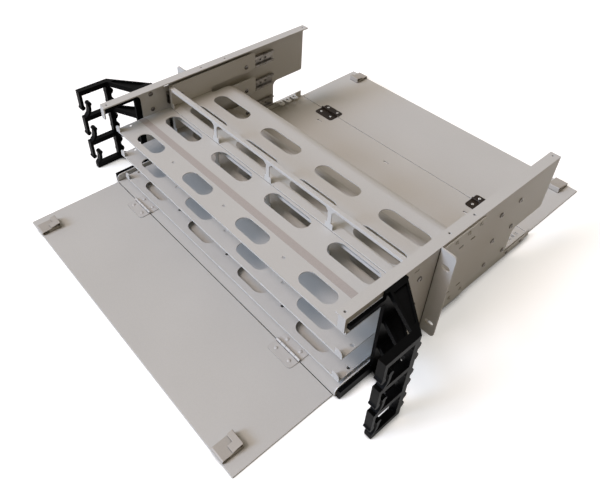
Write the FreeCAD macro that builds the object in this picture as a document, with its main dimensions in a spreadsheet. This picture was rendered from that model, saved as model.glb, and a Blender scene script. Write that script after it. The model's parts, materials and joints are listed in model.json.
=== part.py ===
# Rack fibre patch panel: folded base, side walls, drop-down doors, sliding trays and fibre guides.
# Millimetres. X runs left to right, Y from the front to the rear, Z up from the underside of the base.
# The origin is the middle of the base's underside.
import FreeCAD
import Part

import math
import os
from types import SimpleNamespace

import Sketcher

SIZES = {
    # Base and walls
    "body_width": 444.0,
    "body_depth": 360.0,
    "body_height": 131.5,
    "plate_sheet": 1.5,
    "wall_sheet": 1.5,
    "base_flange_height": 12.0,
    "hinge_line_gap": 0.5,
    "base_flange_setback": 0.6,
    "wall_front_lead": 1.2,
    "wall_rear_gap": 3.0,
    "top_flange_width": 13.0,
    "top_strip_height": 8.0,
    "front_tab_height": 20.5,
    "front_tab_width": 9.0,
    "front_leg_depth": 4.5,
    "cutout_depth": 57.0,
    "cutout_radius": 10.0,
    "notch_length": 62.0,
    "notch_top": 53.0,
    "notch_bottom": 10.0,
    "notch_radius": 9.0,
    "notch_strip_length": 50.0,
    "wall_corner_radius": 3.0,
    "flange_hole_radius": 1.5,
    "flange_hole_inset": 6.8,
    "flange_hole_end": 6.0,
    "flange_hole_ear": 155.0,
    "flange_hole_pitch": 42.0,
    "wall_slit_setback": 98.8,
    "wall_slit_drop": 9.8,
    "wall_slit_length": 8.0,
    "wall_slit_width": 2.0,
    "floor_slot_spacing": 144.0,
    "floor_slot_setback": 30.0,
    "floor_slot_length": 10.0,
    "floor_slot_width": 3.0,
    # Tie lugs folded in from the base's side flanges
    "comb_setback": 14.0,
    "comb_pitch": 15.0,
    "comb_strip": 5.0,
    "lug_length": 11.0,
    "lug_width": 10.0,
    "lug_hole": 4.0,
    # Rack ears
    "ear_width": 19.3,
    "ear_rise": 0.5,
    "ear_foot": 3.0,
    "ear_sheet": 2.0,
    "ear_setback": 131.5,
    "ear_leg_length": 76.5,
    "ear_leg_inset": 4.0,
    "ear_corner_radius": 5.0,
    "ear_bend_radius": 1.8,
    "rack_slot_inset": 8.8,
    "rack_slot_low": 21.8,
    "rack_slot_spacing": 88.9,
    "rack_slot_length": 10.5,
    "rack_slot_width": 6.8,
    "leg_slot_drop": 24.0,
    "leg_slot_low": 32.5,
    "leg_slot_start": 39.7,
    "leg_slot_pitch": 20.0,
    "leg_slot_length": 8.0,
    "leg_slot_width": 2.6,
    # Doors, hinges and latches
    "door_side_gap": 2.0,
    "door_depth": 129.0,
    "hinge_spacing": 300.0,
    "hinge_length": 37.0,
    "hinge_leaf_depth": 15.0,
    "long_leaf_depth": 17.5,
    "short_leaf_depth": 12.5,
    "hinge_leaf_sheet": 0.8,
    "hinge_leaf_radius": 4.0,
    "knuckle_radius": 1.7,
    "knuckle_lift": 0.1,
    "knuckle_gap": 0.3,
    "knuckle_clearance": 0.4,
    "pin_radius": 0.9,
    "pin_clearance": 0.05,
    "rivet_radius": 2.2,
    "rivet_height": 1.0,
    "rivet_spacing": 21.0,
    "latch_inset": 24.5,
    "latch_width": 18.0,
    "latch_length": 26.0,
    "latch_height": 8.5,
    "latch_slope": 2.2,
    "latch_sheet": 1.2,
    "latch_clearance": 0.3,
    "latch_block": 3.0,
    "latch_block_length": 17.0,
    "latch_mouth": 13.0,
    "latch_notch": 6.0,
    "latch_bend": 0.9,
    "bolt_length": 22.0,
    "bolt_sheet": 1.5,
    "bolt_return": 6.5,
    "bolt_nose_radius": 2.0,
    "bolt_toe_radius": 1.2,
    # Trays
    "lowest_tray": 8.5,
    "tray_sheet": 1.2,
    "tray_lip": 2.4,
    "apron_overhang": 2.0,
    "tray_setback": 11.5,
    "apron_depth": 84.5,
    "tray_flat_depth": 177.5,
    "fold_length": 69.0,
    "side_gap": 2.0,
    "side_length": 153.0,
    "side_headroom": 7.0,
    "side_rise": 6.5,
    "side_radius": 5.0,
    "tail_inset": 4.0,
    "roll_length": 16.0,
    "roll_drop": 5.0,
    "roll_corner_radius": 8.0,
    "corner_tab_width": 10.0,
    "corner_tab_height": 8.5,
    "corner_tab_radius": 6.0,
    "slot_margin": 9.0,
    "front_row": 19.2,
    "front_slot_length": 49.0,
    "front_slot_width": 21.0,
    "second_row": 70.5,
    "third_row": 111.0,
    "fourth_row": 152.5,
    "slot_length": 70.0,
    "slot_width": 23.0,
    "tie_hole_radius": 1.9,
    # Adapter frames
    "frame_sheet": 1.2,
    "frame_setback": 85.3,
    "frame_drop": 1.0,
    "frame_gap": 0.3,
    "rail_depth": 6.2,
    "foot_depth": 12.0,
    "end_margin": 4.0,
    "post_width": 6.0,
    "window_margin": 4.0,
    "window_gusset": 4.0,
    "window_step_width": 3.0,
    "window_step_height": 8.0,
    # Ball slides
    "slide_thickness": 8.0,
    "slide_height": 17.0,
    "slide_rear_gap": 4.0,
    "slide_setback": 96.0,
    "slide_rise": 14.0,
    "slide_sheet": 1.0,
    "slide_lip": 1.5,
    "slide_standoff": 1.5,
    "slide_pad_radius": 4.0,
    "slide_hole_radius": 1.9,
    "slide_hole_rear": 15.0,
    "slide_hole_pitch": 10.0,
    "inner_height": 11.0,
    "cage_sheet": 0.8,
    "cage_clearance": 0.6,
    "cage_length": 100.0,
    # Fibre guides
    "ring_offset": 44.5,
    "ring_width": 8.5,
    "ring_front": 9.0,
    "short_bar": 4.0,
    "post_setback": 30.0,
    "post_depth": 7.0,
    "lobe_radius": 5.5,
    "lobe_inset": 2.0,
    "bar_height": 7.0,
    "finger_width": 4.0,
    "finger_ball": 3.2,
    "hanging_finger": 19.5,
    "rising_finger": 17.5,
    "finger_spacing": 9.6,
    "guide_sheet": 4.0,
    "guide_overlap": 22.0,
    "guide_inset": 8.5,
    "guide_drop": 8.5,
    "guide_band": 6.0,
    "arm_inset": 4.0,
    "arm_rim": 3.0,
    "arm_groove": 2.0,
    # Fasteners
    "screw_radius": 3.2,
    "screw_height": 1.8,
    "small_screw_radius": 2.6,
    "small_screw_height": 1.2,
    "slide_screw_front": 10.0,
    "slide_screw_rear": 5.0,
    "slide_screw_pitch": 38.0,
    "guide_screw_setback": 16.0,
    "guide_screw_drop": 13.5,
    "guide_screw_pitch": 24.0,
    "ear_screw_start": 27.5,
    "ear_screw_pitch": 21.0,
    "ear_screw_drop": 9.5,
    "ear_screw_low": 17.0,
    "base_screw_pitch": 31.5,
    "tray_screw_inset": 18.0,
    "tray_screw_rise": 14.5,
}
TRAY_NAMES = ("lower", "middle", "upper")
SLOT_COLUMNS = 4
KNUCKLES = 5
RINGS = 3
LUGS = 3
SLIDE_HOLES = 3
EAR_SCREW_COLUMNS = 3
# How far a rising finger lies forward of its tip and above its bar, as shares of the spacing and the rise
FINGER_SWEEP = ((0.62, -0.2), (0.55, 0.05), (0.2, 0.25), (0.08, 0.5), (0.0, 1.0))
# Where the post's two lobes stand in each ring, as shares of its height
LOBE_PLACES = (0.27, 0.75)
SIDES = {"left": -1.0, "right": 1.0}

doc = FreeCAD.newDocument("fibre_panel")
sheet = doc.addObject("Spreadsheet::Sheet", "dims")


class Size:
    """A length: its number and the sheet expression that gives it."""

    def __init__(self, number, formula):
        self.number = number
        self.formula = formula

    def __add__(self, other):
        other = size(other)
        return Size(self.number + other.number, f"({self.formula} + {other.formula})")

    def __sub__(self, other):
        other = size(other)
        return Size(self.number - other.number, f"({self.formula} - {other.formula})")

    def __mul__(self, other):
        other = size(other)
        return Size(self.number * other.number, f"({self.formula} * {other.formula})")

    def __truediv__(self, other):
        other = size(other)
        return Size(self.number / other.number, f"({self.formula} / {other.formula})")

    def __neg__(self):
        return Size(-self.number, f"(0 - {self.formula})")

    def __radd__(self, other):
        return size(other) + self

    def __rsub__(self, other):
        return size(other) - self

    def __rmul__(self, other):
        return size(other) * self


def size(value):
    """A plain number as a Size."""
    return value if isinstance(value, Size) else Size(float(value), f"{float(value):.6f}")


def fill_sheet():
    """Writes each driving size to its own aliased cell and returns them by name."""
    sizes = {}
    for row, (alias, number) in enumerate(SIZES.items(), start=1):
        sheet.set(f"A{row}", alias)
        sheet.set(f"B{row}", str(number))
        sheet.setAlias(f"B{row}", alias)
        sizes[alias] = Size(number, f"dims.{alias}")
    doc.recompute()
    return SimpleNamespace(**sizes)


d = fill_sheet()


# Document helpers

def bind(obj, prop, value):
    obj.setExpression(prop, size(value).formula)


def place(obj, x, y, z):
    bind(obj, "Placement.Base.x", x)
    bind(obj, "Placement.Base.y", y)
    bind(obj, "Placement.Base.z", z)


def new_body(name):
    return doc.addObject("PartDesign::Body", name)


def origin_plane(body, role):
    return next(f for f in body.Origin.OriginFeatures if f.Role == role)


def new_sketch(body, role, offset):
    """A sketch on one of the body's own origin planes, moved along that plane's normal."""
    sketch = body.newObject("Sketcher::SketchObject", f"{body.Name}_sketch")
    sketch.AttachmentSupport = [(origin_plane(body, role), "")]
    sketch.MapMode = "FlatFace"
    bind(sketch, "AttachmentOffset.Base.z", offset)
    return sketch


def fix_point(sketch, geometry, point, u, v):
    """Ties a sketch point to the sheet by its two distances from the sketch's origin."""
    for kind, axis, value in (("DistanceX", -2, size(u)), ("DistanceY", -1, size(v))):
        if value.number == 0.0:
            sketch.addConstraint(Sketcher.Constraint("PointOnObject", geometry, point, axis))
            continue
        index = sketch.addConstraint(Sketcher.Constraint(kind, -1, 1, geometry, point, value.number))
        sketch.setExpression(f"Constraints[{index}]", value.formula)


def draw_polygon(sketch, points):
    corners = [FreeCAD.Vector(size(u).number, size(v).number, 0) for u, v in points]
    first = sketch.GeometryCount
    count = len(corners)
    for i, corner in enumerate(corners):
        sketch.addGeometry(Part.LineSegment(corner, corners[(i + 1) % count]), False)
    for i in range(count):
        following = first + (i + 1) % count
        sketch.addConstraint(Sketcher.Constraint("Coincident", first + i, 2, following, 1))
    for i, (u, v) in enumerate(points):
        fix_point(sketch, first + i, 1, u, v)


def draw_slot(sketch, u, v, length, width):
    """A round-ended slot along the sketch's first axis."""
    u, v, radius = size(u), size(v), size(width) / 2
    reach = size(length) / 2 - radius
    ends = (u - reach, u + reach)
    first = sketch.GeometryCount
    top, low = v.number + radius.number, v.number - radius.number
    turns = ((math.pi / 2, 3 * math.pi / 2), (-math.pi / 2, math.pi / 2))
    for end, (start, stop) in zip(ends, turns):
        middle = FreeCAD.Vector(end.number, v.number, 0)
        circle = Part.Circle(middle, FreeCAD.Vector(0, 0, 1), radius.number)
        sketch.addGeometry(Part.ArcOfCircle(circle, start, stop), False)
    for level in (top, low):
        left = FreeCAD.Vector(ends[0].number, level, 0)
        right = FreeCAD.Vector(ends[1].number, level, 0)
        sketch.addGeometry(Part.LineSegment(left, right), False)
    for line, line_end, arc, arc_end in ((2, 1, 0, 1), (2, 2, 1, 2), (3, 1, 0, 2), (3, 2, 1, 1)):
        sketch.addConstraint(Sketcher.Constraint("Tangent", first + line, line_end, first + arc, arc_end))
    sketch.addConstraint(Sketcher.Constraint("Equal", first, first + 1))
    index = sketch.addConstraint(Sketcher.Constraint("Radius", first, radius.number))
    sketch.setExpression(f"Constraints[{index}]", radius.formula)
    for arc, end in enumerate(ends):
        fix_point(sketch, first + arc, 3, end, v)


def draw_circle(sketch, u, v, radius):
    u, v, radius = size(u), size(v), size(radius)
    centre = FreeCAD.Vector(u.number, v.number, 0)
    index = sketch.addGeometry(Part.Circle(centre, FreeCAD.Vector(0, 0, 1), radius.number), False)
    constraint = sketch.addConstraint(Sketcher.Constraint("Radius", index, radius.number))
    sketch.setExpression(f"Constraints[{constraint}]", radius.formula)
    fix_point(sketch, index, 3, u, v)


def pad(body, sketch, length):
    feature = body.newObject("PartDesign::Pad", f"{body.Name}_pad")
    feature.Profile = sketch
    bind(feature, "Length", length)
    sketch.Visibility = False
    return feature


def pocket(body, sketch, depth):
    """Cuts against the sketch's normal, and makes sure that it took something away."""
    doc.recompute()
    before = body.Shape.Volume
    feature = body.newObject("PartDesign::Pocket", f"{body.Name}_pocket")
    feature.Profile = sketch
    bind(feature, "Length", depth)
    doc.recompute()
    if body.Shape.Volume >= before:
        raise RuntimeError(f"{feature.Name} cuts nothing")
    return feature


def slab_x(body, points, x0, x1):
    """A plate whose outline is given as (y, z), from x0 up to x1."""
    sketch = new_sketch(body, "YZ_Plane", x0)
    draw_polygon(sketch, points)
    return pad(body, sketch, size(x1) - x0)


def slab_y(body, points, y0, y1):
    """A plate whose outline is given as (x, z), from y0 up to y1."""
    sketch = new_sketch(body, "XZ_Plane", -size(y1))
    draw_polygon(sketch, points)
    return pad(body, sketch, size(y1) - y0)


def slab_z(body, points, z0, z1):
    """A plate whose outline is given as (x, y), from z0 up to z1."""
    sketch = new_sketch(body, "XY_Plane", z0)
    draw_polygon(sketch, points)
    return pad(body, sketch, size(z1) - z0)


def rectangle(u0, u1, v0, v1):
    return [(u0, v0), (u1, v0), (u1, v1), (u0, v1)]


def mirror_sides(body, features):
    """Repeats features of a body on its other side, across the panel's middle plane."""
    mirrored = body.newObject("PartDesign::Mirrored", f"{body.Name}_mirrored")
    mirrored.Originals = features
    mirrored.MirrorPlane = (origin_plane(body, "YZ_Plane"), [""])
    body.Tip = mirrored
    return mirrored


def row_along_x(body, feature, pitch, count):
    """Repeats a feature along X at a pitch."""
    pattern = body.newObject("PartDesign::LinearPattern", f"{body.Name}_row")
    pattern.Originals = [feature]
    pattern.Direction = (origin_plane(body, "YZ_Plane"), [""])
    bind(pattern, "Length", size(pitch) * (count - 1))
    pattern.Occurrences = count
    body.Tip = pattern
    return pattern


def round_edges(body, radius, chosen):
    """Fillets the edges of a body that a test picks by their middle point and direction."""
    doc.recompute()
    base = body.Tip
    names = []
    for number, edge in enumerate(base.Shape.Edges, start=1):
        ends = edge.Vertexes
        if edge.Curve.TypeId != "Part::GeomLine" or len(ends) != 2:
            continue
        run = (ends[1].Point - ends[0].Point).normalize()
        if chosen(edge.CenterOfMass, run):
            names.append(f"Edge{number}")
    if not names:
        raise RuntimeError(f"{body.Name} has no such edge to round")
    fillet = body.newObject("PartDesign::Fillet", f"{body.Name}_fillet")
    fillet.Base = (base, names)
    bind(fillet, "Radius", radius)
    return fillet


def near(a, b):
    return abs(a - size(b).number) < 0.01


def box(name, x0, x1, y0, y1, z0, z1):
    block = doc.addObject("Part::Box", name)
    bind(block, "Length", size(x1) - x0)
    bind(block, "Width", size(y1) - y0)
    bind(block, "Height", size(z1) - z0)
    place(block, x0, y0, z0)
    return block


TURNS = {
    "+x": FreeCAD.Rotation(FreeCAD.Vector(0, 1, 0), 90),
    "-x": FreeCAD.Rotation(FreeCAD.Vector(0, 1, 0), -90),
    "+z": FreeCAD.Rotation(),
}


def rod(name, direction, radius, length, x, y, z):
    """A cylinder that starts at a point and runs along a direction."""
    cylinder = doc.addObject("Part::Cylinder", name)
    cylinder.Placement = FreeCAD.Placement(FreeCAD.Vector(), TURNS[direction])
    bind(cylinder, "Radius", radius)
    bind(cylinder, "Height", length)
    place(cylinder, x, y, z)
    return cylinder


HEAD_SIDES = 12


def screw_head(name, direction, radius, height, x, y, z):
    """A low head that stands on a face, many-sided to keep its faces few."""
    head = doc.addObject("Part::Prism", name)
    head.Placement = FreeCAD.Placement(FreeCAD.Vector(), TURNS[direction])
    head.Polygon = HEAD_SIDES
    bind(head, "Circumradius", radius)
    bind(head, "Height", height)
    place(head, x, y, z)
    return head


def fuse(name, pieces):
    union = doc.addObject("Part::MultiFuse", name)
    union.Shapes = pieces
    union.Refine = True
    return union


def cut(name, base, tool):
    difference = doc.addObject("Part::Cut", name)
    difference.Base = base
    difference.Tool = tool
    return difference


def group(name, pieces):
    """Like pieces that share one node, each still a solid of its own."""
    compound = doc.addObject("Part::Compound", name)
    compound.Links = pieces
    return compound


NODES = []


def node(obj, name):
    """Names a finished sub-part."""
    obj.Label = name
    NODES.append(obj)


# Shared places

HALF_BODY = d.body_width / 2
WALL_INNER = HALF_BODY - d.wall_sheet
FRONT_LINE = -(d.body_depth / 2)
REAR_LINE = d.body_depth / 2
WALL_FRONT = FRONT_LINE - d.wall_front_lead
WALL_REAR = REAR_LINE - d.wall_rear_gap
FLANGE_LOW = d.body_height - d.wall_sheet
HINGE_AXIS = d.plate_sheet + d.knuckle_lift + d.knuckle_radius
TRAY_FRONT = FRONT_LINE + d.tray_setback
SIDE_OUTER = WALL_INNER - d.slide_thickness
SIDE_INNER = SIDE_OUTER - d.tray_sheet
SIDE_START = TRAY_FRONT + d.apron_depth + d.side_gap
SLIDE_FRONT = FRONT_LINE + d.slide_setback
CUTOUT_REAR = FRONT_LINE + d.cutout_depth
EAR_FRONT = FRONT_LINE + d.ear_setback
NOTCH_FRONT = WALL_REAR - d.notch_length
SLIDE_REAR = NOTCH_FRONT - d.slide_rear_gap
EAR_TOP = d.body_height + d.ear_rise
GUIDE_TOP = d.body_height - d.guide_drop
HIGH_SCREW = d.body_height - d.guide_screw_drop
DOOR_HALF = WALL_INNER - d.door_side_gap
APRON_HALF = SIDE_OUTER + d.apron_overhang
SLOT_PITCH = (APRON_HALF * 2 - d.slot_margin) / SLOT_COLUMNS
FRAME_HALF = SIDE_INNER - d.frame_gap
POST_PITCH = (FRAME_HALF * 2 - d.end_margin) / SLOT_COLUMNS
TRAY_PITCH = (d.body_height - d.lowest_tray) / len(TRAY_NAMES)
SIDE_HEIGHT = TRAY_PITCH - d.side_headroom


def tray_top(level):
    return d.lowest_tray + TRAY_PITCH * level


# Base plate

def make_base_plate():
    body = new_body("base_plate")
    edge = REAR_LINE - d.hinge_line_gap
    slab_z(body, rectangle(-WALL_INNER, WALL_INNER, -edge, edge), 0, d.plate_sheet)
    flange_inner = WALL_INNER - d.plate_sheet
    flange_front = FRONT_LINE + d.base_flange_setback
    side = rectangle(flange_front, WALL_REAR, 0, d.base_flange_height)
    flange = slab_x(body, side, flange_inner, WALL_INNER)
    folded = [flange]
    comb_front = WALL_REAR - d.comb_setback - d.comb_pitch * LUGS
    strip_edge = WALL_INNER - d.comb_strip
    strip = rectangle(strip_edge, WALL_INNER, comb_front, comb_front + d.comb_pitch * LUGS)
    lug_low = d.base_flange_height - d.plate_sheet
    folded.append(slab_z(body, strip, lug_low, d.base_flange_height))
    for lug in range(LUGS):
        middle = comb_front + d.comb_pitch * (lug + 0.5)
        sketch = new_sketch(body, "XY_Plane", lug_low)
        reach = d.lug_length + d.comb_strip
        draw_slot(sketch, strip_edge + d.comb_strip - reach / 2, middle, reach, d.lug_width)
        folded.append(pad(body, sketch, d.plate_sheet))
    mirror_sides(body, folded)
    for sign in SIDES.values():
        holes = new_sketch(body, "XY_Plane", d.base_flange_height)
        for lug in range(LUGS):
            middle = comb_front + d.comb_pitch * (lug + 0.5)
            inner = (strip_edge - d.lug_hole) * sign
            outer = strip_edge * sign
            draw_polygon(holes, rectangle(inner, outer, middle - d.lug_hole / 2, middle + d.lug_hole / 2))
        pocket(body, holes, d.plate_sheet)
    slots = new_sketch(body, "XY_Plane", d.plate_sheet)
    slot_y = REAR_LINE - d.floor_slot_setback
    for place_in_row in (-1, 0, 1):
        draw_slot(slots, d.floor_slot_spacing * place_in_row, slot_y, d.floor_slot_length, d.floor_slot_width)
    pocket(body, slots, d.plate_sheet)
    round_edges(
        body, d.base_flange_height / 2,
        lambda p, run: abs(run.x) > 0.9 and near(p.y, flange_front) and near(p.z, d.base_flange_height),
    )
    node(body, "base_plate")


# Side walls

def make_wall(name, sign):
    body = new_body(f"{name}_side_wall")
    strip_low = d.body_height - d.top_strip_height
    tab_low = d.body_height - d.front_tab_height
    leg_rear = WALL_FRONT + d.front_leg_depth
    outline = [
        (CUTOUT_REAR, 0),
        (NOTCH_FRONT + d.notch_strip_length, 0),
        (NOTCH_FRONT + d.notch_strip_length, d.notch_bottom),
        (NOTCH_FRONT, d.notch_bottom),
        (NOTCH_FRONT, d.notch_top),
        (WALL_REAR, d.notch_top),
        (WALL_REAR, d.body_height),
        (WALL_FRONT, d.body_height),
        (WALL_FRONT, tab_low),
        (leg_rear, tab_low),
        (leg_rear, strip_low),
        (CUTOUT_REAR, strip_low),
    ]
    outer = HALF_BODY * sign
    inner = WALL_INNER * sign
    low, high = (inner, outer) if sign > 0 else (outer, inner)
    slab_x(body, outline, low, high)
    flange_inner = (HALF_BODY - d.top_flange_width) * sign
    slab_z(body, rectangle(flange_inner, outer, WALL_FRONT, WALL_REAR), FLANGE_LOW, d.body_height)
    tab_inner = (HALF_BODY - d.front_tab_width) * sign
    slab_y(body, rectangle(tab_inner, outer, tab_low, d.body_height), WALL_FRONT, WALL_FRONT + d.wall_sheet)
    holes = new_sketch(body, "XY_Plane", d.body_height)
    hole_x = (HALF_BODY - d.flange_hole_inset) * sign
    ear_hole = FRONT_LINE + d.flange_hole_ear
    for hole_y in (
        WALL_FRONT + d.flange_hole_end, ear_hole,
        ear_hole + d.flange_hole_pitch, WALL_REAR - d.flange_hole_end,
    ):
        draw_circle(holes, hole_x, hole_y, d.flange_hole_radius)
    pocket(body, holes, d.wall_sheet)
    slit = new_sketch(body, "YZ_Plane", high)
    slit_y = FRONT_LINE + d.wall_slit_setback
    draw_slot(slit, slit_y, d.body_height - d.wall_slit_drop, d.wall_slit_length, d.wall_slit_width)
    pocket(body, slit, d.wall_sheet)
    round_edges(
        body, d.cutout_radius,
        lambda p, run: abs(run.x) > 0.9 and near(p.y, CUTOUT_REAR) and near(p.z, strip_low),
    )
    round_edges(
        body, d.notch_radius,
        lambda p, run: abs(run.x) > 0.9 and near(p.y, NOTCH_FRONT) and near(p.z, d.notch_top),
    )
    round_edges(
        body, d.wall_corner_radius,
        lambda p, run: abs(run.x) > 0.9 and near(p.y, WALL_REAR) and near(p.z, d.notch_top),
    )
    round_edges(
        body, d.wall_corner_radius,
        lambda p, run: abs(run.y) > 0.9 and near(p.x, tab_inner) and near(p.z, tab_low),
    )
    node(body, f"{name}_side_wall")


# Rack ears

def make_ear(name, sign):
    body = new_body(f"{name}_rack_ear")
    tip = (HALF_BODY + d.ear_width) * sign
    root = HALF_BODY * sign
    slab_y(body, rectangle(root, tip, d.ear_foot, EAR_TOP), EAR_FRONT, EAR_FRONT + d.ear_sheet)
    leg_rear = EAR_FRONT + d.ear_leg_length
    leg = rectangle(EAR_FRONT, leg_rear, d.ear_leg_inset, EAR_TOP - d.ear_leg_inset)
    leg_outer = (HALF_BODY + d.ear_sheet) * sign
    low, high = (root, leg_outer) if sign > 0 else (leg_outer, root)
    slab_x(body, leg, low, high)
    holes = new_sketch(body, "XZ_Plane", -EAR_FRONT)
    for level in (0, 1):
        slot_z = d.rack_slot_low + d.rack_slot_spacing * level
        slot_x = tip - d.rack_slot_inset * sign
        draw_slot(holes, slot_x, slot_z, d.rack_slot_length, d.rack_slot_width)
    pocket(body, holes, d.ear_sheet)
    slots = new_sketch(body, "YZ_Plane", high)
    for column in (0, 1):
        slot_y = EAR_FRONT + d.leg_slot_start + d.leg_slot_pitch * column
        for slot_z in (d.leg_slot_low, d.body_height - d.leg_slot_drop):
            draw_slot(slots, slot_y, slot_z, d.leg_slot_length, d.leg_slot_width)
    pocket(body, slots, d.ear_sheet)
    round_edges(
        body, d.ear_bend_radius,
        lambda p, run: abs(run.z) > 0.9 and near(p.x, root) and near(p.y, EAR_FRONT),
    )
    round_edges(body, d.ear_corner_radius, lambda p, run: abs(run.y) > 0.9 and near(p.x, tip))
    node(body, f"{name}_rack_ear")


# Doors

def make_door(name, sign):
    body = new_body(f"{name}_door")
    hinged = (REAR_LINE + d.hinge_line_gap) * sign
    edge = (REAR_LINE + d.door_depth) * sign
    slab_z(body, rectangle(-DOOR_HALF, DOOR_HALF, hinged, edge), 0, d.plate_sheet)
    node(body, f"{name}_door")


# Hinges

def hinge_leaf(name, sign, middle, outward, first, depth):
    """One leaf with every second knuckle. Outward is 1 on the door's side of the hinge line, else -1."""
    line = REAR_LINE * sign
    toward = sign * outward
    clear = d.knuckle_radius + d.knuckle_clearance
    half = d.hinge_length / 2
    plate = new_body(f"{name}_plate")
    leaf_low = d.plate_sheet
    leaf_high = leaf_low + d.hinge_leaf_sheet
    inner = line + clear * toward
    outer = line + depth * toward
    slab_z(plate, rectangle(middle - half, middle + half, inner, outer), leaf_low, leaf_high)
    round_edges(plate, d.hinge_leaf_radius, lambda p, run: abs(run.z) > 0.9 and near(p.y, outer))
    pieces = [plate]
    pitch = d.hinge_length / KNUCKLES
    for knuckle in range(first, KNUCKLES, 2):
        start = middle - half + pitch * knuckle + d.knuckle_gap / 2
        length = pitch - d.knuckle_gap
        barrel = rod(f"{name}_barrel", "+x", d.knuckle_radius, length, start, line, HINGE_AXIS)
        near_side, far_side = (line, inner) if toward > 0 else (inner, line)
        strap = box(f"{name}_strap", start, start + length, near_side, far_side, leaf_low, leaf_high)
        pieces += [barrel, strap]
    bore = d.pin_radius + d.pin_clearance
    hole = rod(f"{name}_bore", "+x", bore, d.hinge_length, middle - half, line, HINGE_AXIS)
    return cut(f"{name}_leaf", fuse(f"{name}_blank", pieces), hole)


def make_hinges(name, sign):
    if sign < 0:
        fixing, depths = "rivets", {"base": d.hinge_leaf_depth, "door": d.hinge_leaf_depth}
    else:
        fixing, depths = "screws", {"base": d.long_leaf_depth, "door": d.short_leaf_depth}
    for kind, outward, first in (("base", -1, 0), ("door", 1, 1)):
        leaves = []
        for side, middle in (("left", -(d.hinge_spacing / 2)), ("right", d.hinge_spacing / 2)):
            leaf = hinge_leaf(f"{name}_{side}_{kind}", sign, middle, outward, first, depths[kind])
            leaves.append(leaf)
        node(group(f"{name}_hinge_{kind}_leaves", leaves), f"{name}_hinge_{kind}_leaves")
    pins = []
    for middle in (-(d.hinge_spacing / 2), d.hinge_spacing / 2):
        start = middle - d.hinge_length / 2
        line = REAR_LINE * sign
        pins.append(rod(f"{name}_pin", "+x", d.pin_radius, d.hinge_length, start, line, HINGE_AXIS))
    node(group(f"{name}_hinge_pins", pins), f"{name}_hinge_pins")
    top = d.plate_sheet + d.hinge_leaf_sheet
    for kind, outward in (("base", -1), ("door", 1)):
        heads = []
        row = (depths[kind] + d.knuckle_radius) / 2
        for middle in (-(d.hinge_spacing / 2), d.hinge_spacing / 2):
            for half in (-0.5, 0.5):
                x = middle + d.rivet_spacing * half
                y = REAR_LINE * sign + row * (sign * outward)
                label = f"{name}_{kind}_head"
                heads.append(screw_head(label, "+z", d.rivet_radius, d.rivet_height, x, y, top))
        label = f"{name}_hinge_{kind}_{fixing}"
        node(group(label, heads), label)


# Latches

def make_latches(name, sign):
    """A folded catch on the door and the sheet bolt that slides out of it, past the door's edge."""
    edge = (REAR_LINE + d.door_depth) * sign
    floor = d.plate_sheet
    high = floor + d.latch_height
    block_top = floor + d.latch_block
    bolt_low = block_top + d.latch_clearance
    bolt_high = bolt_low + d.bolt_sheet
    mouth_top = high - d.latch_slope
    catch_end = edge - d.latch_length * sign
    turn = catch_end + d.latch_sheet * sign
    block_front = edge - (d.latch_length - d.latch_block_length) * sign
    mouth = edge - d.latch_mouth * sign
    catches = []
    for side, side_sign in SIDES.items():
        middle = (DOOR_HALF - d.latch_inset) * side_sign
        x0 = middle - d.latch_width / 2
        x1 = middle + d.latch_width / 2
        catch = new_body(f"{name}_{side}_catch")
        slab_x(
            catch,
            [
                (block_front, floor), (catch_end, floor), (catch_end, high), (mouth, mouth_top),
                (mouth, mouth_top - d.latch_sheet), (turn, high - d.latch_sheet), (turn, block_top),
                (block_front, block_top),
            ],
            x0, x1,
        )
        notch = new_sketch(catch, "XY_Plane", high)
        notch_end = mouth - d.latch_notch * sign
        draw_polygon(notch, rectangle(x0, middle, mouth, notch_end))
        pocket(catch, notch, high - bolt_high)
        round_edges(
            catch, d.latch_bend,
            lambda p, run: abs(run.x) > 0.9 and near(p.y, catch_end) and near(p.z, high),
        )
        catches.append(catch)
        bolt = new_body(f"{name}_{side}_latch_bolt")
        bolt_end = edge - d.bolt_length * sign
        inside = edge - d.latch_sheet * sign
        toe_end = edge - d.bolt_return * sign
        toe_low = floor + d.latch_clearance
        toe_high = toe_low + d.latch_sheet
        slab_x(
            bolt,
            [
                (toe_end, toe_low), (edge, toe_low), (edge, bolt_high), (bolt_end, bolt_high),
                (bolt_end, bolt_low), (inside, bolt_low), (inside, toe_high), (toe_end, toe_high),
            ],
            x0, x1,
        )
        for radius, level in ((d.bolt_nose_radius, bolt_high), (d.bolt_toe_radius, toe_low)):
            round_edges(
                bolt, radius,
                lambda p, run: abs(run.x) > 0.9 and near(p.y, edge) and near(p.z, level),
            )
        node(bolt, f"{name}_{side}_latch_bolt")
    node(group(f"{name}_latch_catches", catches), f"{name}_latch_catches")


# Trays

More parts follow.
